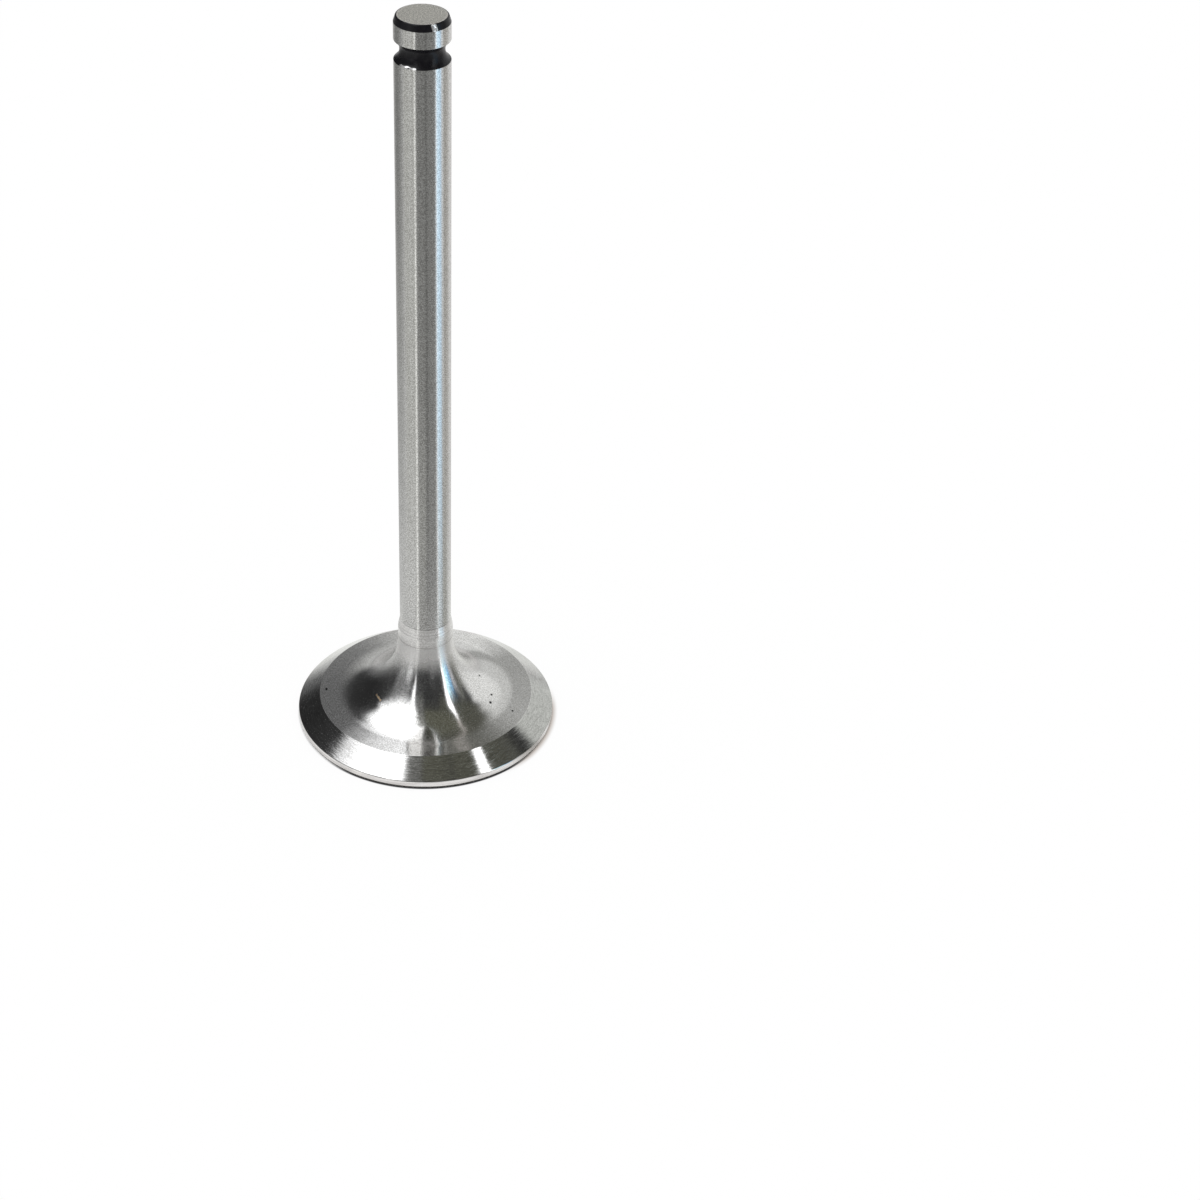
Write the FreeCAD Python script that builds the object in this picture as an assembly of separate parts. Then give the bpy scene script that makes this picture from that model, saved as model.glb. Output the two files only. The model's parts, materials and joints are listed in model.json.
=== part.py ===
import FreeCAD, Part
import math
import os

# An engine valve, turned in one piece: a round head with a conical seat, a concave back that runs up
# into the neck, a long ground stem, and a rounded groove for the keepers just below the tip.
# Millimetres and degrees. The axis is Z, the head's flat face lies at height 0 and the tip is up.

# Overall sizes.
overall_length = 119.15
stem_diameter = 8.0
head_diameter = 40.7

# Head: a steep narrow chamfer at the face, a plain rim, and the seat, which slopes up towards the stem.
face_chamfer_width = 0.15
face_chamfer_height = 0.35
rim_height = 0.9
rim_edge_radius = 0.15
seat_width = 3.4
seat_angle = 36.0
seat_edge_radius = 0.1

# Back of the head: a shallow cone from the seat, then a large concave radius up into the neck.
back_angle = 6.0
back_radius = 11.0

# Neck: left as turned, a little thicker than the ground stem, with a short taper where grinding ends.
neck_step = 0.32
neck_straight = 1.75
grinding_runout = 1.7
runout_corner_radius = 4.0

# Shallow round recess in the middle of the face.
recess_diameter = 10.0
recess_depth = 0.6
recess_edge_chamfer = 0.2
recess_corner_radius = 0.3

# Keeper groove: an arc in section, with both of its edges broken.
tip_to_groove = 3.45
groove_width = 3.0
groove_depth = 0.84
groove_edge_break = 0.08

# Tip: a flat end with a steep chamfer, rounded where the two meet.
tip_chamfer_width = 0.3
tip_chamfer_length = 0.95
tip_corner_radius = 0.25

# Rounding of the edges that are only deburred.
deburred_radius = 0.06


def at(radius, height):
    """A point of the outline, in the plane through the axis."""
    return FreeCAD.Vector(radius, 0, height)


def rounded_line(start, corners, end):
    """Edges from start to end by way of the corners, each a point with the radius that rounds it."""
    edges = []
    ahead = [point for point, _ in corners[1:]] + [end]
    last = start
    for (corner, radius), after in zip(corners, ahead):
        to_last = (last - corner).normalize()
        to_after = (after - corner).normalize()
        half_angle = to_last.getAngle(to_after) / 2
        setback = radius / math.tan(half_angle)
        inward = (to_last + to_after).normalize()
        arc_start = corner + to_last * setback
        arc_middle = corner + inward * (radius / math.sin(half_angle) - radius)
        arc_end = corner + to_after * setback
        edges.append(Part.LineSegment(last, arc_start).toShape())
        edges.append(Part.Arc(arc_start, arc_middle, arc_end).toShape())
        last = arc_end
    edges.append(Part.LineSegment(last, end).toShape())
    return edges


# Heights and radii that follow from the sizes above.
stem_radius = stem_diameter / 2
head_radius = head_diameter / 2
recess_radius = recess_diameter / 2
neck_radius = stem_radius + neck_step
seat_bottom = face_chamfer_height + rim_height
seat_top = seat_bottom + seat_width * math.tan(math.radians(seat_angle))
seat_inner_radius = head_radius - seat_width
# The back's cone, drawn on to the neck, meets it at this height, where the large radius rounds it off.
neck_foot = seat_top + (seat_inner_radius - neck_radius) * math.tan(math.radians(back_angle))
back_radius_top = neck_foot + back_radius * math.tan(math.radians(90 - back_angle) / 2)
neck_top = back_radius_top + neck_straight
ground_stem_bottom = neck_top + grinding_runout
groove_top = overall_length - tip_to_groove
groove_bottom = groove_top - groove_width
groove_middle = (groove_bottom + groove_top) / 2
lower_lip = at(stem_radius - groove_edge_break, groove_bottom + groove_edge_break)
upper_lip = at(stem_radius - groove_edge_break, groove_top - groove_edge_break)


def head_and_stem():
    """The outline from the middle of the face, round the head and up the stem to the groove."""
    corners = [
        (at(recess_radius, recess_depth), recess_corner_radius),
        (at(recess_radius, recess_edge_chamfer), deburred_radius),
        (at(recess_radius + recess_edge_chamfer, 0), deburred_radius),
        (at(head_radius - face_chamfer_width, 0), deburred_radius),
        (at(head_radius, face_chamfer_height), deburred_radius),
        (at(head_radius, seat_bottom), rim_edge_radius),
        (at(seat_inner_radius, seat_top), seat_edge_radius),
        (at(neck_radius, neck_foot), back_radius),
        (at(neck_radius, neck_top), runout_corner_radius),
        (at(stem_radius, ground_stem_bottom), deburred_radius),
        (at(stem_radius, groove_bottom), deburred_radius),
    ]
    return rounded_line(at(0, recess_depth), corners, lower_lip)


def keeper_groove():
    """The groove's round floor, from its lower lip to its upper one."""
    floor = at(stem_radius - groove_depth, groove_middle)
    return [Part.Arc(lower_lip, floor, upper_lip).toShape()]


def collar_and_tip():
    """The outline from the groove's upper lip over the collar to the middle of the tip."""
    corners = [
        (at(stem_radius, groove_top), deburred_radius),
        (at(stem_radius, overall_length - tip_chamfer_length), deburred_radius),
        (at(stem_radius - tip_chamfer_width, overall_length), tip_corner_radius),
    ]
    return rounded_line(upper_lip, corners, at(0, overall_length))


def valve():
    """The whole valve: half of its section, turned about the axis."""
    axis_edge = Part.LineSegment(at(0, overall_length), at(0, recess_depth)).toShape()
    section = Part.Wire(head_and_stem() + keeper_groove() + collar_and_tip() + [axis_edge])
    return Part.Face(section).revolve(at(0, 0), FreeCAD.Vector(0, 0, 1), 360)


os.makedirs("parts", exist_ok=True)
valve().exportStep("parts/valve.step")
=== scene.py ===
import json
import math
from collections import namedtuple

import bpy
import numpy as np
from mathutils import Matrix, Quaternion, Vector


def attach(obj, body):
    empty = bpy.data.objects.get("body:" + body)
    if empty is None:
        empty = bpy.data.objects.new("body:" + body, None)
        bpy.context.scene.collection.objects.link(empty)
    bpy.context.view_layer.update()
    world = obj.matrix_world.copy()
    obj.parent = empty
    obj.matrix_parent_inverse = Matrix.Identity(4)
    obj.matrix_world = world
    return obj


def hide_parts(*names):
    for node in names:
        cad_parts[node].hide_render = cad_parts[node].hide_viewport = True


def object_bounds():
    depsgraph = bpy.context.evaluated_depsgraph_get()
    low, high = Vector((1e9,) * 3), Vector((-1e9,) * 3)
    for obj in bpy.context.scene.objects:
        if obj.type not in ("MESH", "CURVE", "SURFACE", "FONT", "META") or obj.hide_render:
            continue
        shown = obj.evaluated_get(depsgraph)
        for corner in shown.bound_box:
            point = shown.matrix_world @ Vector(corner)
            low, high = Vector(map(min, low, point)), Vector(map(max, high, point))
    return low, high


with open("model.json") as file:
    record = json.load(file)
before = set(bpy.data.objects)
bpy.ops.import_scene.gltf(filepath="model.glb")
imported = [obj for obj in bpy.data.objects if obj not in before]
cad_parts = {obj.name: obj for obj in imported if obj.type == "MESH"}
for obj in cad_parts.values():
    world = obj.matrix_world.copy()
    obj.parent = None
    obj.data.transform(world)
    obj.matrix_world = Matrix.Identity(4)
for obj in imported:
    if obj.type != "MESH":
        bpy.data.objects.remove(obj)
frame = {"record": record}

cad_low, cad_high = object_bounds()


# The camera: a phone held a forearm's length from the valve, looking down on it and rolled a little.
# Its lens was worked out from the ellipses of the head and the tip and the vanishing of the stem.
camera_place = Vector((0.0, -0.3441, 0.2672))
camera_target = Vector((0.02745, 0.0, 0.02125))
camera_roll = math.radians(2.34)
camera_focal_length = 80.73
camera_sensor = 36.0
camera_clip_start = 0.01

camera_data = bpy.data.cameras.new("camera")
camera_data.lens = camera_focal_length
camera_data.sensor_width = camera_sensor
camera_data.clip_start = camera_clip_start
camera = bpy.data.objects.new("camera", camera_data)
camera.rotation_mode = "QUATERNION"
camera.location = camera_place
level_view = (camera_target - camera_place).to_track_quat("-Z", "Y")
camera.rotation_quaternion = level_view @ Quaternion((0, 0, 1), camera_roll)
bpy.context.scene.collection.objects.link(camera)
bpy.context.scene.camera = camera


# The face of the head: flat, ground to an even satin, with a shallow round recess in its middle that was
# never cleaned and stayed black. A steep narrow chamfer, painted near-black as the shade under the rim,
# leads up to the rim.
head_radius = cad_high.x
recess_radius = 0.005
recess_depth = 0.0006
recess_corner_rounding = 0.0003
recess_edge_chamfer = 0.0002
face_chamfer_width = 0.00015
face_chamfer_height = 0.00035
deburred = 0.00006

steel_colour = (0.72, 0.71, 0.69)
face_dark = (0.68, 0.655, 0.635)
face_pale = (0.90, 0.87, 0.85)
pale_ring_colour = (0.96, 0.94, 0.92)
pale_ring_from = 0.0054
pale_ring_to = 0.0058
black_ends = 0.00545
black_gone = 0.00555
face_relief = 0.000006

# The black of the heat treatment, and the spots where it is rubbed through to the steel: each one's two
# ends and its width. One is on the tip's chamfer, the other along the groove's lower lip.
scale_colour = (0.022, 0.023, 0.026)
scale_thick = (0.003, 0.003, 0.005)
scale_thin = (0.014, 0.013, 0.014)
scale_ior = 1.28
scale_relief = 0.000012
rubbed_steel = (0.92, 0.91, 0.90)
rubbed_spots = (
    ((0.0016, -0.0035, 0.1190), (0.0018, -0.0036, 0.1184), 0.0007),
    ((-0.0030, -0.0026, 0.11272), (-0.0011, -0.0038, 0.11272), 0.00045),
)

# Painted shade: the face's chamfer is coloured near-black and brown to stand for the shadow under the rim.
chamfer_shade_colour = (0.02, 0.017, 0.014)
chamfer_shade_dark = (0.006, 0.005, 0.005)
chamfer_shade_light = (0.05, 0.042, 0.034)
chamfer_shade_ior = 1.3
chamfer_shade_relief = 0.000008

quarter_turn = 0.25

# Where a point of a surface lies: right, away from the camera, up, and how far from the axis.
Place = namedtuple("Place", "x y height distance")


def add(tree, kind, **settings):
    """A node of that kind with its settings made."""
    made = tree.nodes.new(kind)
    for name, value in settings.items():
        setattr(made, name, value)
    return made


def feed(tree, socket, value):
    """Gives a socket a number or what another socket puts out."""
    if isinstance(value, bpy.types.NodeSocket):
        tree.links.new(value, socket)
    else:
        socket.default_value = value


def calc(tree, operation, *values):
    """What a Math node makes of up to three numbers or sockets."""
    made = add(tree, "ShaderNodeMath", operation=operation)
    for socket, value in zip(made.inputs, values):
        feed(tree, socket, value)
    return made.outputs[0]


def product(tree, first, *others):
    """Several shares multiplied together."""
    for other in others:
        first = calc(tree, "MULTIPLY", first, other)
    return first


def sum_of(tree, *parts):
    """Several patterns added up, each times its weight."""
    total = 0.0
    for pattern, weight in parts:
        total = calc(tree, "MULTIPLY_ADD", pattern, weight, total)
    return total


def ramp(tree, value, low, high, at_low=0.0, at_high=1.0):
    """A soft step of value from at_low, up to low, to at_high, from high on."""
    made = add(tree, "ShaderNodeMapRange", interpolation_type="SMOOTHSTEP")
    numbers = {"Value": value, "From Min": low, "From Max": high, "To Min": at_low, "To Max": at_high}
    for name, number in numbers.items():
        feed(tree, made.inputs[name], number)
    return made.outputs["Result"]


def spread(tree, pattern, at_low=0.0, at_high=1.0, reach=0.2):
    """A random pattern, which mostly keeps within that reach of its middle, stretched to two values."""
    return ramp(tree, pattern, 0.5 - reach, 0.5 + reach, at_low, at_high)


def band(tree, value, low, high, soft):
    """1 while the value lies between low and high, falling to 0 over soft outside them."""
    risen = ramp(tree, value, low - soft, low)
    return product(tree, risen, ramp(tree, value, high, high + soft, 1.0, 0.0))


def from_axis(tree, x, y):
    """How far a point lies from the valve's axis."""
    return calc(tree, "SQRT", calc(tree, "ADD", product(tree, x, x), product(tree, y, y)))


def bearing(tree, x, y):
    """Where a point lies round the axis, in degrees to the right of the photograph's side."""
    return calc(tree, "DEGREES", calc(tree, "ARCTAN2", x, product(tree, y, -1.0)))


def finish(name, colour, metallic, roughness, anisotropy=0.0):
    """A surface finish: its material, node tree and shader, and where a point of it lies."""
    material = bpy.data.materials.new(name)
    material.use_nodes = True
    tree = material.node_tree
    surface = tree.nodes["Principled BSDF"]
    surface.inputs["Base Color"].default_value = (*colour, 1.0)
    surface.inputs["Metallic"].default_value = metallic
    surface.inputs["Roughness"].default_value = roughness
    if anisotropy:
        round_the_axis = add(tree, "ShaderNodeTangent", direction_type="RADIAL", axis="Z")
        surface.inputs["Anisotropic"].default_value = anisotropy
        surface.inputs["Anisotropic Rotation"].default_value = quarter_turn
        feed(tree, surface.inputs["Tangent"], round_the_axis.outputs["Tangent"])
    parted = add(tree, "ShaderNodeSeparateXYZ")
    feed(tree, parted.inputs[0], add(tree, "ShaderNodeTexCoord").outputs["Object"])
    x, y, height = parted.outputs
    return material, tree, surface, Place(x, y, height, from_axis(tree, x, y))


def noise(tree, across, ahead, up, scale=1.0, detail=2.0):
    """Random clouds over three coordinates, 0 to 1."""
    where = add(tree, "ShaderNodeCombineXYZ")
    for socket, value in zip(where.inputs, (across, ahead, up)):
        feed(tree, socket, value)
    made = add(tree, "ShaderNodeTexNoise")
    feed(tree, made.inputs["Vector"], where.outputs[0])
    made.inputs["Scale"].default_value = scale
    made.inputs["Detail"].default_value = detail
    return made.outputs["Fac"]


def marks(tree, place, along, pitch, arc):
    """Lathe or grinding marks, 0 to 1: they follow each other along the profile at that pitch, and each
    fades in and out after about arc round the axis."""
    across = calc(tree, "DIVIDE", place.x, arc)
    ahead = calc(tree, "DIVIDE", place.y, arc)
    return noise(tree, across, ahead, calc(tree, "DIVIDE", along, pitch))


def grain(tree, place, size, detail=2.0):
    """Even specks or clouds of about that size, 0 to 1."""
    return noise(tree, place.x, place.y, place.height, 1.0 / size, detail)


def tint(tree, low_colour, high_colour, share):
    """A colour between the two, by share."""
    made = add(tree, "ShaderNodeMix", data_type="RGBA")
    feed(tree, made.inputs["Factor"], share)
    for socket, colour in ((made.inputs[6], low_colour), (made.inputs[7], high_colour)):
        feed(tree, socket, colour if isinstance(colour, bpy.types.NodeSocket) else (*colour, 1.0))
    return made.outputs[2]


def scar(tree, start, end, width):
    """1 on a pit or a scratch of that width between two points, 0 off it."""
    spot = add(tree, "ShaderNodeTexCoord").outputs["Object"]
    run = Vector(end) - Vector(start)
    offset = add(tree, "ShaderNodeVectorMath", operation="SUBTRACT")
    feed(tree, offset.inputs[0], spot)
    offset.inputs[1].default_value = start
    share = add(tree, "ShaderNodeVectorMath", operation="DOT_PRODUCT")
    feed(tree, share.inputs[0], offset.outputs["Vector"])
    share.inputs[1].default_value = run / run.length_squared
    along = add(tree, "ShaderNodeVectorMath", operation="SCALE")
    along.inputs[0].default_value = run
    feed(tree, along.inputs["Scale"], ramp(tree, share.outputs["Value"], 0.0, 1.0))
    aside = add(tree, "ShaderNodeVectorMath", operation="DISTANCE")
    feed(tree, aside.inputs[0], offset.outputs["Vector"])
    feed(tree, aside.inputs[1], along.outputs["Vector"])
    return ramp(tree, aside.outputs["Value"], width * 0.3, width * 0.7, 1.0, 0.0)


def scars(tree, spots):
    """1 on any of several pits or scratches."""
    largest = 0.0
    for spot in spots:
        largest = calc(tree, "MAXIMUM", largest, scar(tree, *spot))
    return largest


def relief(tree, surface, height, depth):
    """Raises the surface by depth where height is 1."""
    bump = add(tree, "ShaderNodeBump")
    bump.inputs["Distance"].default_value = depth
    feed(tree, bump.inputs["Height"], height)
    feed(tree, surface.inputs["Normal"], bump.outputs["Normal"])


def faced_steel():
    """The ground face: an even pale satin of fine rings and specks, a little warm. The recess's black runs
    over its edge here and there, and a paler ring lies just outside it."""
    material, tree, surface, place = finish(
        "faced_steel", steel_colour, metallic=0.55, roughness=0.4, anisotropy=0.3)
    rings = marks(tree, place, place.distance, pitch=0.00015, arc=0.004)
    specks = grain(tree, place, size=0.00018, detail=1.0)
    ground = sum_of(tree, (rings, 0.5), (specks, 0.5))
    even = tint(tree, face_dark, face_pale, spread(tree, ground))
    # A paler ring just outside the recess.
    pale_ring = band(tree, place.distance, pale_ring_from, pale_ring_to, soft=0.0003)
    ringed = tint(tree, even, pale_ring_colour, product(tree, pale_ring, 0.5))
    ragged = sum_of(tree, (grain(tree, place, size=0.0005, detail=3.0), 0.0005), (place.distance, 1.0))
    run_over = ramp(tree, ragged, black_ends, black_gone, 0.9, 0.0)
    feed(tree, surface.inputs["Base Color"], tint(tree, ringed, scale_colour, run_over))
    feed(tree, surface.inputs["Roughness"], spread(tree, grain(tree, place, size=0.005), 0.36, 0.46))
    relief(tree, surface, ground, face_relief)
    return material


def black_scale():
    """Black scale, left in the recess, the groove and the tip's chamfer: glossy, a little uneven, and
    rubbed through to the steel in spots."""
    material, tree, surface, place = finish("black_scale", scale_colour, metallic=0.0, roughness=0.3)
    surface.inputs["IOR"].default_value = scale_ior
    clouds = grain(tree, place, size=0.0008, detail=4.0)
    coat = tint(tree, scale_thick, scale_thin, clouds)
    flecks = ramp(tree, grain(tree, place, size=0.0004), 0.3, 0.45)
    rubbed = product(tree, scars(tree, rubbed_spots), flecks)
    feed(tree, surface.inputs["Base Color"], tint(tree, coat, rubbed_steel, rubbed))
    feed(tree, surface.inputs["Metallic"], rubbed)
    feed(tree, surface.inputs["Roughness"], spread(tree, clouds, 0.16, 0.30))
    relief(tree, surface, grain(tree, place, size=0.00025), scale_relief)
    return material


def shade_painted_edge():
    """The chamfer round the face: painted dark brown as the shade that lies under the rim."""
    material, tree, surface, place = finish("shade_painted_edge", chamfer_shade_colour, metallic=0.0, roughness=0.6)
    surface.inputs["IOR"].default_value = chamfer_shade_ior
    clouds = grain(tree, place, size=0.0006, detail=3.0)
    feed(tree, surface.inputs["Base Color"], tint(tree, chamfer_shade_dark, chamfer_shade_light, clouds))
    relief(tree, surface, clouds, chamfer_shade_relief)
    return material


faced = faced_steel()
black = black_scale()
shaded_chamfer = shade_painted_edge()
# Each corner of the outline: its distance from the axis, its height, its rounding and the finish of that,
# and the finish from there to the next corner.
below_groove = [
    (0.0, recess_depth, 0.0, black, black),
    (recess_radius, recess_depth, recess_corner_rounding, black, black),
    (recess_radius, recess_edge_chamfer, deburred, black, faced),
    (recess_radius + recess_edge_chamfer, 0.0, deburred, faced, faced),
    (head_radius - face_chamfer_width, 0.0, deburred, faced, shaded_chamfer),
]


# The rim and the seat: a plain turned rim, and above it the conical seat that closes the port, ground on
# its own stone and so the brightest, sharpest band of the head.
rim_height = 0.0009
rim_edge_rounding = 0.00015
seat_width = 0.0034
seat_angle = math.radians(36.0)
seat_edge_rounding = 0.0001
seat_bottom = face_chamfer_height + rim_height
seat_top = seat_bottom + seat_width * math.tan(seat_angle)
seat_inner_radius = head_radius - seat_width

rim_dark = (0.72, 0.69, 0.67)
rim_pale = (0.96, 0.93, 0.91)
rim_relief = 0.000006
seat_dark = (0.54, 0.53, 0.51)
seat_pale = (0.88, 0.87, 0.85)
right_side_dark = (0.34, 0.34, 0.32)
right_side_pale = (0.58, 0.58, 0.55)
right_side_from = 58.0
right_side_to = 96.0
seat_relief = 0.000007


def turned_rim():
    """The rim as it was turned: satin and pale, with two or three rings of the tool."""
    material, tree, surface, place = finish(
        "turned_rim", steel_colour, metallic=0.6, roughness=0.25, anisotropy=0.5)
    rings = marks(tree, place, place.height, pitch=0.0003, arc=0.006)
    turned = tint(tree, rim_dark, rim_pale, spread(tree, rings, reach=0.15))
    feed(tree, surface.inputs["Base Color"], turned)
    relief(tree, surface, rings, rim_relief)
    return material


def ground_seat():
    """Fine grinding: nearly a mirror, drawn out a little across its rings, with specks of dull metal, and
    greyer on its right."""
    material, tree, surface, place = finish(
        "ground_seat", steel_colour, metallic=1.0, roughness=0.11, anisotropy=0.8)
    rings = marks(tree, place, place.distance, pitch=0.00016, arc=0.0012)
    specks = grain(tree, place, size=0.0002, detail=1.0)
    speckled = spread(tree, sum_of(tree, (rings, 0.5), (specks, 0.5)))
    bright = tint(tree, seat_dark, seat_pale, speckled)
    dull = tint(tree, right_side_dark, right_side_pale, speckled)
    # Greyer on the right side of the seat, between two bearings.
    right_side = band(tree, bearing(tree, place.x, place.y), right_side_from, right_side_to, soft=16.0)
    feed(tree, surface.inputs["Base Color"], tint(tree, bright, dull, right_side))
    feed(tree, surface.inputs["Roughness"], spread(tree, rings, 0.09, 0.14))
    relief(tree, surface, rings, seat_relief)
    return material


rim = turned_rim()
seat = ground_seat()
below_groove += [
    (head_radius, face_chamfer_height, deburred, shaded_chamfer, rim),
    (head_radius, seat_bottom, rim_edge_rounding, seat, seat),
]


# The back of the head: a shallow cone that sweeps up into the neck in one large radius, polished on a
# belt while it turned, so that what it reflects is smeared up and down and crisp from side to side.
back_angle = math.radians(6.0)
back_radius = 0.011
stem_mount = next(mount for mount in frame["record"]["mounts"] if mount["name"] == "stem")
stem_radius = stem_mount["dims"]["r_mm"] / 1000
neck_step = 0.00032
neck_radius = stem_radius + neck_step
neck_foot = seat_top + (seat_inner_radius - neck_radius) * math.tan(back_angle)
back_radius_top = neck_foot + back_radius * math.tan((math.pi / 2 - back_angle) / 2)

back_dark = (0.52, 0.51, 0.49)
back_pale = (0.90, 0.89, 0.87)
back_matt = (0.84, 0.825, 0.805)
back_relief = 0.000007
# Heights: the sweep leaves the cone between the first two, and the polish turns matt between the others.
sweep_bottom = 0.0046
sweep_top = 0.0076
matt_bottom = 0.0100
matt_top = 0.0138
# Pits, and one scratch with rust in it: the two ends and the width of each.
pit_colour = (0.02, 0.02, 0.02)
pits = (
    ((0.00860, 0.0003, 0.00623), (0.00860, 0.0004, 0.00623), 0.00034),
    ((0.01046, -0.0029, 0.00489), (0.01046, -0.0030, 0.00489), 0.00034),
    ((0.01026, -0.0047, 0.00471), (0.01026, -0.0048, 0.00471), 0.00040),
    ((0.01374, -0.0059, 0.00392), (0.01374, -0.0060, 0.00392), 0.00030),
    ((-0.01589, 0.0001, 0.00382), (-0.01589, 0.0004, 0.00382), 0.00032),
)
rusty_scratch_colour = (0.80, 0.60, 0.38)
rusty_scratch = ((-0.00780, -0.00420, 0.00602), (-0.00720, -0.00550, 0.00592), 0.00034)


def strokes(tree, place, width, length, reach):
    """Strokes of a belt up and down the profile, 0 to 1, of that width at that distance from the axis."""
    turns = reach / width
    across = product(tree, calc(tree, "DIVIDE", place.x, place.distance), turns)
    ahead = product(tree, calc(tree, "DIVIDE", place.y, place.distance), turns)
    down_the_back = calc(tree, "SUBTRACT", place.distance, place.height)
    return noise(tree, across, ahead, calc(tree, "DIVIDE", down_the_back, length))


def polished_back():
    """Belt polish: bright, with fine strokes, grain, soft hollows, a few pits and one rusty scratch. Up the
    sweep its smear grows longer, and it fades into the matt, pale neck above."""
    material, tree, surface, place = finish(
        "polished_back", steel_colour, metallic=1.0, roughness=0.13, anisotropy=0.75)
    hollows = grain(tree, place, size=0.0022)
    specks = spread(tree, grain(tree, place, size=0.00017, detail=1.0), reach=0.18)
    fine = strokes(tree, place, width=0.00028, length=0.003, reach=0.009)
    sweep = ramp(tree, place.height, sweep_bottom, sweep_top)
    matt_share = ramp(tree, place.height, matt_bottom, matt_top)
    scratched = scar(tree, *rusty_scratch)
    clean = tint(tree, back_dark, back_pale, sum_of(tree, (specks, 0.8), (fine, 0.2)))
    paler = tint(tree, clean, back_matt, product(tree, matt_share, 0.7))
    pitted = tint(tree, paler, pit_colour, scars(tree, pits))
    feed(tree, surface.inputs["Base Color"], tint(tree, pitted, rusty_scratch_colour, scratched))
    feed(tree, surface.inputs["Anisotropic"], ramp(tree, sweep, 0.0, 1.0, 0.75, 0.95))
    feed(tree, surface.inputs["Metallic"], ramp(tree, matt_share, 0.0, 1.0, 1.0, 0.74))
    polish = spread(tree, hollows, 0.11, 0.15)
    roughness = sum_of(tree, (matt_share, 0.13), (scratched, 0.4), (sweep, 0.03), (polish, 1.0))
    feed(tree, surface.inputs["Roughness"], roughness)
    relief(tree, surface, sum_of(tree, (hollows, 0.85), (fine, 0.15)), back_relief)
    return material


polished = polished_back()
below_groove.append((seat_inner_radius, seat_top, seat_edge_rounding, polished, polished))


# The neck: the last stretch below the guide, a little thicker than the stem, left matt from turning. The
# grinding of the stem runs out over it in a short taper.
neck_straight = 0.00175
grinding_runout = 0.0017
runout_rounding = 0.004
neck_top = back_radius_top + neck_straight
ground_stem_bottom = neck_top + grinding_runout

neck_dark = (0.66, 0.645, 0.63)
neck_pale = (0.98, 0.965, 0.94)
neck_ring_colour = (0.30, 0.29, 0.27)
neck_ring_bottom = back_radius_top + 0.00010
neck_ring_top = back_radius_top + 0.00020
neck_relief = 0.000006


def matt_neck():
    """Turned and tumbled: pale and even, with faint rings and a faint dark ring near its foot."""
    material, tree, surface, place = finish(
        "matt_neck", steel_colour, metallic=0.74, roughness=0.27, anisotropy=0.95)
    rings = marks(tree, place, place.height, pitch=0.00025, arc=0.01)
    specks = grain(tree, place, size=0.0002, detail=1.0)
    tumbled = sum_of(tree, (rings, 0.5), (specks, 0.5))
    clean = tint(tree, neck_dark, neck_pale, spread(tree, tumbled))
    # A faint dark ring just above where the back's large radius meets the neck.
    line = band(tree, place.height, neck_ring_bottom, neck_ring_top, soft=0.00020)
    lined = tint(tree, clean, neck_ring_colour, product(tree, line, 0.35))
    feed(tree, surface.inputs["Base Color"], lined)
    relief(tree, surface, tumbled, neck_relief)
    return material


matt = matt_neck()
below_groove += [
    (neck_radius, neck_foot, back_radius, polished, matt),
    (neck_radius, neck_top, runout_rounding, matt, matt),
]


# The stem: ground to size between centres to run in its guide, which leaves marks round it too fine to
# see one by one: they draw every reflection out along the stem.
overall_length = cad_high.z
tip_to_groove = 0.00345
groove_width = 0.003
groove_top = overall_length - tip_to_groove
groove_bottom = groove_top - groove_width

stem_dark = (0.54, 0.53, 0.51)
stem_pale = (0.91, 0.90, 0.88)
end_line_colour = (0.20, 0.20, 0.19)
end_line_top = ground_stem_bottom + 0.0001
stem_relief = 0.0000006
# A small hooked scratch, in two strokes: the two ends and the width of each.
hook_colour = (1.0, 0.98, 0.92)
hook = (
    ((0.0029, -0.0027, 0.0999), (0.00356, -0.0018, 0.1000), 0.00018),
    ((0.00356, -0.0018, 0.1000), (0.00350, -0.0019, 0.1012), 0.00014),
)


def ground_stem():
    """Centreless grinding: silky and even along the stem, with a dark line at its lower end and a small
    hooked scratch."""
    material, tree, surface, place = finish(
        "ground_stem", steel_colour, metallic=1.0, roughness=0.20, anisotropy=1.0)
    fine = marks(tree, place, place.height, pitch=0.00015, arc=0.004)
    wide = marks(tree, place, place.height, pitch=0.0025, arc=0.006)
    specks = spread(tree, grain(tree, place, size=0.00017, detail=1.0), reach=0.18)
    clean = tint(tree, stem_dark, stem_pale, specks)
    line = band(tree, place.height, ground_stem_bottom, end_line_top, soft=0.00008)
    lined = tint(tree, clean, end_line_colour, product(tree, line, 0.3))
    feed(tree, surface.inputs["Base Color"], tint(tree, lined, hook_colour, scars(tree, hook)))
    feed(tree, surface.inputs["Roughness"], spread(tree, wide, 0.19, 0.21))
    relief(tree, surface, fine, stem_relief)
    return material


ground = ground_stem()
below_groove += [
    (stem_radius, ground_stem_bottom, deburred, ground, ground),
    (stem_radius, groove_bottom, deburred, black, black),
]


# The keeper groove: two half-round collets sit in it and hold the spring's retainer. It is an arc in
# section, turned before hardening and left black, with both of its lips broken.
groove_depth = 0.00084
groove_edge_break = 0.00008
lip_radius = stem_radius - groove_edge_break
lower_lip = (lip_radius, groove_bottom + groove_edge_break)
upper_lip = (lip_radius, groove_top - groove_edge_break)
below_groove.append((*lower_lip, 0.0, black, black))
half_opening = (upper_lip[1] - lower_lip[1]) / 2
floor_depth = groove_depth - groove_edge_break
groove_radius = (half_opening**2 + floor_depth**2) / (2 * floor_depth)
groove_centre = Vector((stem_radius - groove_depth + groove_radius, (lower_lip[1] + upper_lip[1]) / 2))


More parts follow.
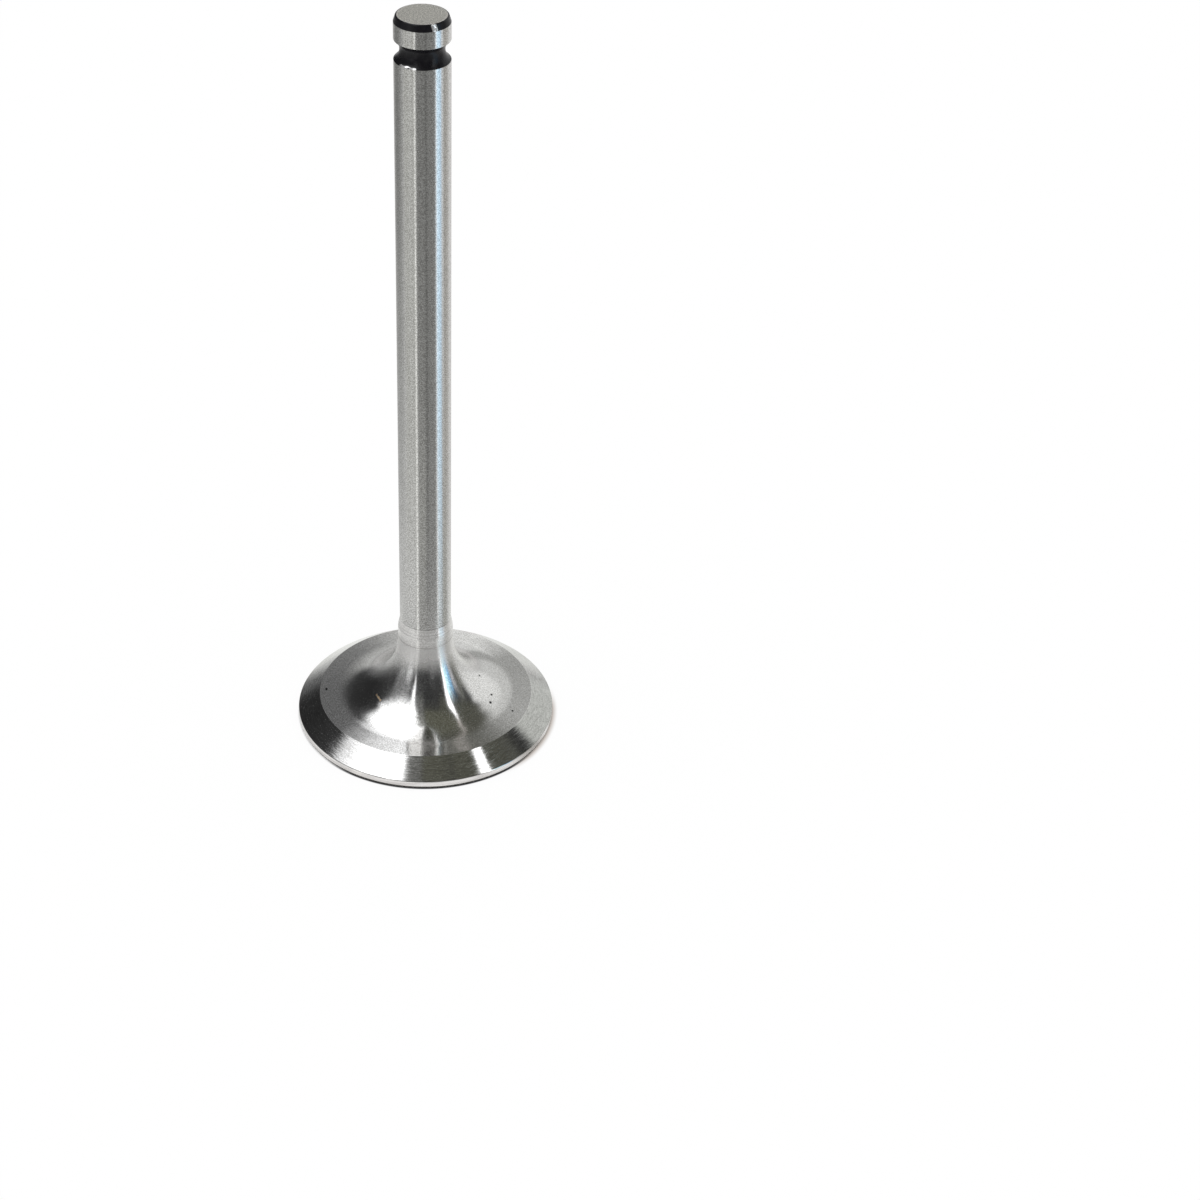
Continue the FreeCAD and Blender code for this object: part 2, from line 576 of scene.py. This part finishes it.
# The collar and the tip: the collar is ground with the stem, and the tip's flat end, which the rocker
# pushes, is ground across. Between them is a steep chamfer, black like the groove.
tip_chamfer_width = 0.0003
tip_chamfer_length = 0.00095
tip_corner_rounding = 0.00025

tip_colour = (0.41, 0.40, 0.37)
tip_dark = (0.25, 0.24, 0.215)
tip_pale = (0.74, 0.72, 0.66)
tip_edge = (0.70, 0.66, 0.63)
tip_edge_from = 0.0032
tip_edge_to = 0.0036
tip_relief = 0.000008


def ground_tip():
    """The end of the stem: flat, ground across and dull, a little brighter round its edge."""
    material, tree, surface, place = finish("ground_tip", tip_colour, metallic=0.85, roughness=0.36)
    specks = spread(tree, grain(tree, place, size=0.00018))
    middle = tint(tree, tip_dark, tip_pale, specks)
    edge = ramp(tree, place.distance, tip_edge_from, tip_edge_to, 0.0, 0.5)
    feed(tree, surface.inputs["Base Color"], tint(tree, middle, tip_edge, edge))
    relief(tree, surface, specks, tip_relief)
    return material


tip = ground_tip()
above_groove = [
    (*upper_lip, 0.0, black, black),
    (stem_radius, groove_top, deburred, ground, ground),
    (stem_radius, overall_length - tip_chamfer_length, deburred, black, black),
    (stem_radius - tip_chamfer_width, overall_length, tip_corner_rounding, black, tip),
    (0.0, overall_length, 0.0, tip, tip),
]


# The valve itself, in one piece of heat-resisting steel: upset-forged from bar, then turned and ground
# all over. The outline above goes once round the axis.
steps_round = 256
longest_strip = 0.004
chord_error = 0.000002
fewest_arc_strips = 4

rings = [(0.0, recess_depth)]
strips = []


def run_to(point, normal, next_normal, surface):
    """One strip of the outline, from the last ring to a new one, with the way it faces at both."""
    rings.append((point[0], point[1]))
    strips.append((normal, next_normal, surface))


def facing(direction):
    """The outward side of the outline where it runs in that direction."""
    return Vector((direction.y, -direction.x))


def run_straight(end, surface):
    """Strips up to a point, none longer than the longest."""
    start = Vector(rings[-1])
    way = Vector(end) - start
    if way.length < chord_error:
        return
    normal = facing(way.normalized())
    count = math.ceil(way.length / longest_strip)
    for step in range(1, count + 1):
        run_to(start + way * (step / count), normal, normal, surface)


def run_round(centre, end, surface):
    """Strips round a centre up to a point, facing as the true arc does."""
    first = Vector(rings[-1]) - centre
    last = Vector(end) - centre
    turn = math.atan2(first.x * last.y - first.y * last.x, first.dot(last))
    side = math.copysign(1.0, turn)
    count = max(fewest_arc_strips, math.ceil(abs(turn) * math.sqrt(first.length / (8 * chord_error))))
    for step in range(count):
        here = Matrix.Rotation(turn * step / count, 2) @ first
        there = Matrix.Rotation(turn * (step + 1) / count, 2) @ first
        run_to(centre + there, side * here.normalized(), side * there.normalized(), surface)


def run_rounded(corners):
    """Strips from the first corner to the last, each corner between them rounded."""
    for before, corner, after in zip(corners, corners[1:], corners[2:]):
        point = Vector(corner[:2])
        back = (Vector(before[:2]) - point).normalized()
        ahead = (Vector(after[:2]) - point).normalized()
        half_angle = back.angle(ahead) / 2
        setback = corner[2] / math.tan(half_angle)
        centre = point + (back + ahead).normalized() * (corner[2] / math.sin(half_angle))
        run_straight(point + back * setback, before[4])
        run_round(centre, point + ahead * setback, corner[3])
    run_straight(corners[-1][:2], corners[-2][4])


run_rounded(below_groove)
run_round(groove_centre, upper_lip, black)
run_rounded(above_groove)

finishes = [faced, black, shaded_chamfer, rim, seat, polished, matt, ground, tip]
angles = np.arange(steps_round) * (2 * math.pi / steps_round)
circle = np.stack([np.cos(angles), np.sin(angles)], axis=1)
points = [(0.0, 0.0, rings[0][1])]
for radius, height in rings[1:-1]:
    points += [(x * radius, y * radius, height) for x, y in circle]
points.append((0.0, 0.0, rings[-1][1]))


def ring_point(ring, step):
    """The number of the point at that step round that ring: the first and last rings are one point each."""
    if ring == 0:
        return 0
    if ring == len(rings) - 1:
        return len(points) - 1
    return 1 + (ring - 1) * steps_round + step % steps_round


faces = []
face_finishes = []
corner_normals = []
for ring, (normal, next_normal, surface) in enumerate(strips):
    for step in range(steps_round):
        lower = [(ring, step, normal), (ring, step + 1, normal)]
        upper = [(ring + 1, step + 1, next_normal), (ring + 1, step, next_normal)]
        if ring == 0:
            lower = lower[1:]
        if ring == len(strips) - 1:
            upper = upper[:1]
        corners = lower + upper
        faces.append([ring_point(where, turn) for where, turn, _ in corners])
        face_finishes.append(finishes.index(surface))
        for _, turn, way in corners:
            x, y = circle[turn % steps_round]
            corner_normals.append((x * way.x, y * way.x, way.y))

valve_mesh = bpy.data.meshes.new("valve_turned")
valve_mesh.from_pydata(points, [], faces)
for surface in finishes:
    valve_mesh.materials.append(surface)
valve_mesh.polygons.foreach_set("material_index", face_finishes)
valve_mesh.polygons.foreach_set("use_smooth", [True] * len(faces))
valve_mesh.normals_split_custom_set(corner_normals)
valve = bpy.data.objects.new("valve_turned", valve_mesh)
bpy.context.scene.collection.objects.link(valve)
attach(valve, "root")
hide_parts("valve")


# The floor: a white painted table, wide enough that its edge is never seen. It keeps the soft shade under
# the head, and the steel sees on its slightly glossy paint a painted glow of how the dark of the room and
# the lights lie there. From below it is clear, so that the face can be looked at.
floor_radius = 4.0
near_radius = 0.032
floor_tuck = 0.0006
floor_gap = 0.00002

table_paint = (0.98, 0.98, 0.98)
table_white = (1.0, 1.0, 1.0)
paint_gloss = 0.15
paint_ior = 1.45
# Round the rim: a painted warm shadow on the right and a painted thin shadow line in front, each between
# two bearings. Close to the rim the table keeps most of its own shadow, and farther out little of it.
right_shadow_colour = (0.60, 0.55, 0.51)
right_shadow_width = 0.0010
right_shadow_from = 54.0
right_shadow_to = 88.0
shadow_line_colour = (0.04, 0.04, 0.045)
shadow_line_inner = head_radius - 0.00002
shadow_line_outer = head_radius + 0.00024
shadow_line_from = -33.0
shadow_line_to = 38.0
shadow_inner = head_radius - 0.0001
shadow_outer = head_radius + 0.0003
least_white = 0.2
most_white = 0.92

# Painted shade and reflection on the paint, as the steel sees it: its shade, its left and right edge in
# degrees round the valve, its near and far edge, and how soft the sides and the ends are. Later ones lie on
# top.
far_off = 9.0
table_shade = (0.75, 0.75, 0.74)
table_shades = (
    ((0.65, 0.65, 0.64), -165.0, -88.0, 0.060, far_off, 50.0, 0.060),
    ((0.46, 0.46, 0.45), -150.0, -95.0, 0.150, far_off, 60.0, 0.150),
    ((0.68, 0.68, 0.66), -82.0, -27.0, 0.060, far_off, 16.0, 0.060),
    ((0.90, 0.90, 0.88), -36.0, -31.0, 0.020, far_off, 3.0, 0.020),
    ((0.80, 0.80, 0.79), -27.0, 51.0, 0.0224, far_off, 6.0, 0.001),
    ((0.53, 0.53, 0.52), -27.0, 51.0, 0.027, far_off, 4.0, 0.009),
    ((0.48, 0.48, 0.47), -27.0, 51.0, 0.090, far_off, 4.0, 0.060),
    ((0.66, 0.66, 0.64), -27.0, 4.0, 0.046, 0.076, 8.0, 0.024),
    ((0.42, 0.42, 0.41), 8.0, 17.0, 0.060, far_off, 7.0, 0.040),
    ((0.62, 0.62, 0.60), 76.0, 112.0, 0.0, far_off, 8.0, 0.001),
    ((0.63, 0.62, 0.60), 80.0, 124.0, 0.060, far_off, 8.0, 0.040),
    ((0.765, 0.75, 0.74), 140.0, 205.0, 0.0, far_off, 30.0, 0.001),
    ((0.70, 0.69, 0.68), -178.0, -156.0, 0.030, far_off, 12.0, 0.004),
    ((0.82, 0.82, 0.80), 126.0, 158.0, 0.0, 0.038, 10.0, 0.012),
    ((0.88, 0.88, 0.86), -162.0, -122.0, 0.0, 0.028, 16.0, 0.006),
    ((0.78, 0.79, 0.79), 60.0, 90.0, 0.110, far_off, 5.0, 0.080),
    ((0.40, 0.39, 0.36), 48.0, 66.0, 0.0, 0.0225, 16.0, 0.003),
    ((0.77, 0.85, 0.91), 55.0, 79.0, 0.060, far_off, 4.0, 0.060),
)


def light(shade):
    """The light that steel throws back as that shade, written in red, green and blue."""
    linear = [s / 12.92 if s < 0.04045 else ((s + 0.055) / 1.055) ** 2.4 for s in shade]
    return [value / steel for value, steel in zip(linear, steel_colour)]


def patch(tree, across, along, behind, shade, left, right, low, high, soft_sides, soft_ends):
    """Lays a shade over what is behind: between left and right across, in degrees round the axis, and
    between low and high along."""
    from_middle = calc(tree, "SUBTRACT", across, (left + right) / 2)
    aside = calc(tree, "ABSOLUTE", calc(tree, "WRAP", from_middle, -180.0, 180.0))
    half = (right - left) / 2
    inside = product(
        tree,
        ramp(tree, aside, half - soft_sides / 2, half + soft_sides / 2, 1.0, 0.0),
        ramp(tree, along, low - soft_ends / 2, low + soft_ends / 2),
        ramp(tree, along, high - soft_ends / 2, high + soft_ends / 2, 1.0, 0.0),
    )
    return tint(tree, behind, light(shade), inside)


def shader(tree, kind, **inputs):
    """What a node of that kind puts out, with numbers or sockets fed to its inputs by name."""
    made = add(tree, kind)
    for name, value in inputs.items():
        feed(tree, made.inputs[name], value)
    return made.outputs[0]


def either(tree, share, first, second):
    """The first shader where share is 0, the second where it is 1."""
    made = add(tree, "ShaderNodeMixShader")
    for socket, value in zip(made.inputs, (share, first, second)):
        feed(tree, socket, value)
    return made.outputs[0]


def white_table():
    """White paint above, nothing below. To the eye it is white, with a part of its own shadow. To the steel
    it shows painted shades and reflections that glow on it, under the gloss of the paint."""
    material = bpy.data.materials.new("white_table")
    material.use_nodes = True
    tree = material.node_tree
    tree.nodes.clear()
    place = add(tree, "ShaderNodeSeparateXYZ")
    feed(tree, place.inputs[0], add(tree, "ShaderNodeTexCoord").outputs["Object"])
    x, y, _ = place.outputs
    distance = from_axis(tree, x, y)
    round_the_valve = bearing(tree, x, y)
    rays = add(tree, "ShaderNodeLightPath")

    # Painted shadow on the table: a warm shade right of the rim and a thin dark shadow line in front.
    beside = ramp(tree, distance, head_radius, head_radius + right_shadow_width, 1.0, 0.0)
    right_shadow = product(tree, beside, band(tree, round_the_valve, right_shadow_from, right_shadow_to, soft=20.0))
    beneath = ramp(tree, distance, shadow_line_inner, shadow_line_outer, 1.0, 0.0)
    shadow_line = product(tree, beneath, band(tree, round_the_valve, shadow_line_from, shadow_line_to, soft=22.0))

    def under_the_rim(white):
        """That white, with the painted warm shadow and the painted shadow line."""
        return tint(tree, tint(tree, white, right_shadow_colour, right_shadow), shadow_line_colour, shadow_line)

    paint = shader(tree, "ShaderNodeBsdfDiffuse", Color=under_the_rim(table_paint))
    plain_white = shader(tree, "ShaderNodeEmission", Color=under_the_rim(table_white))
    whitened = ramp(tree, distance, shadow_inner, shadow_outer, least_white, most_white)
    seen = either(tree, product(tree, rays.outputs["Is Camera Ray"], whitened), paint, plain_white)

    # Painted reflection and shade: a glow on the table that only glossy rays see, laid out by place.
    shades = light(table_shade)
    for zone in table_shades:
        shades = patch(tree, round_the_valve, distance, shades, *zone)
    shaded = shader(tree, "ShaderNodeEmission", Color=shades)
    gloss = shader(tree, "ShaderNodeBsdfAnisotropic", Roughness=paint_gloss)
    glossed = either(tree, shader(tree, "ShaderNodeFresnel", IOR=paint_ior), shaded, gloss)

    upper_side = either(tree, rays.outputs["Is Glossy Ray"], seen, glossed)
    clear = shader(tree, "ShaderNodeBsdfTransparent")
    backfacing = add(tree, "ShaderNodeNewGeometry").outputs["Backfacing"]
    shown = either(tree, backfacing, upper_side, clear)
    feed(tree, add(tree, "ShaderNodeOutputMaterial").inputs["Surface"], shown)
    return material


def ring_of_floor(name, inner, outer, surface):
    """A flat ring of the table."""
    edge = [(x * radius, y * radius, -floor_gap) for radius in (inner, outer) for x, y in circle]
    quads = []
    for step in range(steps_round):
        after = (step + 1) % steps_round
        quads.append((step, steps_round + step, steps_round + after, after))
    mesh = bpy.data.meshes.new(name)
    mesh.from_pydata(edge, [], quads)
    mesh.materials.append(surface)
    made = bpy.data.objects.new(name, mesh)
    bpy.context.scene.collection.objects.link(made)


table = white_table()
ring_of_floor("floor_near", head_radius - floor_tuck, near_radius, table)
ring_of_floor("floor", near_radius, floor_radius, table)


# The studio round the table, as the polished steel shows it: a large soft light above on the left, a tall
# narrow one on the right that runs on as a hoop overhead, a dark room and pale walls behind. To the eye and
# to matt surfaces it is plain white all round, and one weak lamp gives the paint its soft shadow.
lamp_power = 0.35
lamp_place = Vector((-0.5, -0.1, 0.9))
lamp_size = 0.6

# Each panel's shade, its left and right edge in degrees to the right of the camera's side, its lower and
# upper edge in degrees up, and how soft the sides and the ends are. Later ones hang in front.
room_shade = (0.38, 0.38, 0.38)
panels = (
    # The room's dark above the table, lighter and browner towards the ceiling.
    ((0.21, 0.21, 0.21), -200.0, 200.0, 4.0, 98.0, 3.0, 9.0),
    ((0.38, 0.38, 0.37), -33.0, -7.0, 44.0, 98.0, 8.0, 16.0),
    ((0.30, 0.30, 0.27), 40.0, 176.0, 44.0, 70.0, 10.0, 12.0),
    ((0.34, 0.34, 0.30), -7.0, 181.0, 66.0, 98.0, 10.0, 8.0),
    ((0.46, 0.46, 0.44), -200.0, -7.0, 72.0, 98.0, 10.0, 8.0),
    # Behind on the left, a wall that falls into black; before it, low grey things on the table.
    ((0.38, 0.38, 0.38), -184.0, -160.0, 2.0, 46.0, 16.0, 8.0),
    ((0.67, 0.67, 0.66), -180.0, -160.0, -14.0, 20.0, 8.0, 32.0),
    ((0.15, 0.15, 0.15), -152.0, -114.0, 6.0, 46.0, 36.0, 12.0),
    ((0.42, 0.42, 0.42), -87.0, -42.0, 8.0, 42.0, 14.0, 12.0),
    ((0.60, 0.60, 0.60), -86.0, -36.0, -14.0, 9.0, 22.0, 16.0),
    ((0.82, 0.82, 0.82), -59.0, -44.0, -12.0, 15.0, 12.0, 14.0),
    ((0.33, 0.33, 0.33), 14.0, 26.0, 6.0, 20.0, 8.0, 8.0),
    ((0.50, 0.50, 0.50), 12.0, 50.0, -12.0, 6.0, 12.0, 12.0),
    # Behind on the right, a pale wall under an arch, with a dark jamb on its near side.
    ((0.68, 0.68, 0.69), 76.0, 87.0, -12.0, 28.0, 6.0, 18.0),
    ((0.41, 0.41, 0.39), 86.0, 97.0, -12.0, 42.0, 6.0, 14.0),
    ((0.50, 0.50, 0.48), 95.0, 108.0, -12.0, 24.0, 5.0, 10.0),
    ((0.36, 0.36, 0.34), 132.0, 181.0, 30.0, 53.0, 10.0, 6.0),
    ((0.72, 0.72, 0.71), 104.0, 184.0, -14.0, 32.0, 6.0, 10.0),
    ((0.84, 0.84, 0.83), 112.0, 160.0, -14.0, 43.0, 8.0, 6.0),
    ((0.78, 0.78, 0.77), 128.0, 163.0, 38.0, 49.0, 12.0, 8.0),
    ((0.74, 0.74, 0.73), 152.0, 169.0, -14.0, 45.0, 10.0, 8.0),
    ((0.59, 0.59, 0.58), 166.0, 179.0, -14.0, 44.5, 4.0, 7.0),
    ((0.78, 0.78, 0.77), 171.0, 180.0, -14.0, 27.0, 2.5, 7.0),
    ((0.90, 0.90, 0.89), 172.0, 179.0, 22.0, 27.0, 4.0, 4.0),
    # The large soft light above on the left, and its edge that reaches down beside the camera.
    ((0.92, 0.92, 0.92), -113.0, -57.0, 43.5, 56.0, 10.0, 5.0),
    ((1.2, 1.2, 1.2), -120.0, -32.0, 52.0, 75.0, 8.0, 10.0),
    ((1.2, 1.2, 1.2), -180.0, -70.0, 53.0, 78.0, 1.0, 10.0),
    ((0.98, 0.98, 0.98), -180.0, -162.0, 47.5, 54.0, 1.0, 4.0),
    ((1.2, 1.2, 1.2), -166.0, -52.0, 74.0, 83.0, 14.0, 8.0),
    ((0.66, 0.66, 0.66), -53.0, -49.0, 40.0, 52.0, 5.0, 8.0),
    ((1.1, 1.1, 1.1), -32.5, -29.0, 13.0, 34.0, 2.5, 8.0),
    # The tall narrow light on the right, with blue daylight beside it.
    ((0.55, 0.74, 0.88), 66.0, 75.0, -12.0, 32.0, 4.0, 10.0),
    ((0.55, 0.58, 0.62), 66.0, 74.0, 32.0, 46.0, 5.0, 8.0),
    ((0.84, 1.0, 1.05), 55.0, 67.0, -15.0, 40.0, 4.0, 6.0),
    ((1.3, 1.3, 1.3), 52.0, 57.0, -14.0, 40.0, 3.0, 8.0),
)
# The soft light's near edge leans: it steps this far to the right for each degree up.
leaning_edge = ((1.2, 1.2, 1.2), -36.5, -29.0, 31.0, 52.0, 3.0, 6.0)
lean_from = 31.0
lean = -0.08

studio = bpy.data.worlds.new("studio")
bpy.context.scene.world = studio
studio.use_nodes = True
studio.cycles.sampling_method = "NONE"
sky = studio.node_tree
sky.nodes.clear()
direction = add(sky, "ShaderNodeTexCoord").outputs["Generated"]
parted_direction = add(sky, "ShaderNodeSeparateXYZ")
feed(sky, parted_direction.inputs[0], direction)
east, north, up = parted_direction.outputs
azimuth = bearing(sky, east, north)
elevation = calc(sky, "DEGREES", calc(sky, "ARCSINE", up))

view = light(room_shade)
for panel in panels:
    view = patch(sky, azimuth, elevation, view, *panel)
risen = calc(sky, "SUBTRACT", elevation, lean_from)
leaning = calc(sky, "SUBTRACT", azimuth, product(sky, risen, lean))
view = patch(sky, leaning, elevation, view, *leaning_edge)

# The hoop of light over the valve and down behind it. Its middle is a direction on the horizon, and the
# hoop is the ring of directions whose cosine to that middle has about one value. It thins and dims on its
# way.
hoop_azimuth = math.radians(119.5)
hoop_bright = (1.3, 1.3, 1.3)
hoop_dim = (0.68, 0.66, 0.64)

to_hoop_middle = add(sky, "ShaderNodeVectorMath", operation="DOT_PRODUCT")
feed(sky, to_hoop_middle.inputs[0], direction)
to_hoop_middle.inputs[1].default_value = (math.sin(hoop_azimuth), -math.cos(hoop_azimuth), 0.0)
overhead_cosine = ramp(sky, elevation, 50.0, 64.0, 0.355, 0.382)
added_behind = ramp(sky, azimuth, 140.0, 172.0, 0.0, 0.018)
hoop_cosine = calc(sky, "ADD", overhead_cosine, added_behind)
off_hoop = calc(sky, "ABSOLUTE", calc(sky, "SUBTRACT", to_hoop_middle.outputs["Value"], hoop_cosine))
width_overhead = ramp(sky, azimuth, 62.0, 90.0, 0.062, 0.014)
thinned_behind = ramp(sky, azimuth, 135.0, 170.0, 1.0, 0.55)
off_in_widths = calc(sky, "DIVIDE", off_hoop, product(sky, width_overhead, thinned_behind))
on_hoop = product(
    sky,
    ramp(sky, off_in_widths, 0.6, 1.4, 1.0, 0.0),
    ramp(sky, elevation, 36.0, 42.0),
    band(sky, azimuth, 58.0, 173.0, soft=5.0),
)
hoop_shade = tint(sky, light(hoop_bright), light(hoop_dim), ramp(sky, azimuth, 84.0, 124.0))
view = tint(sky, view, hoop_shade, on_hoop)

plain = shader(sky, "ShaderNodeBackground", Color=(1.0, 1.0, 1.0, 1.0), Strength=1.0)
shown = shader(sky, "ShaderNodeBackground", Color=view)
glossy_ray = add(sky, "ShaderNodeLightPath").outputs["Is Glossy Ray"]
feed(sky, add(sky, "ShaderNodeOutputWorld").inputs["Surface"], either(sky, glossy_ray, plain, shown))

lamp_data = bpy.data.lights.new("soft_lamp", "AREA")
lamp_data.size = lamp_size
lamp_data.energy = lamp_power
lamp = bpy.data.objects.new("soft_lamp", lamp_data)
lamp.location = lamp_place
lamp.rotation_mode = "QUATERNION"
lamp.rotation_quaternion = (-lamp_place).to_track_quat("-Z", "Y")
lamp.visible_glossy = False
bpy.context.scene.collection.objects.link(lamp)

bpy.context.scene.view_settings.view_transform = "Standard"
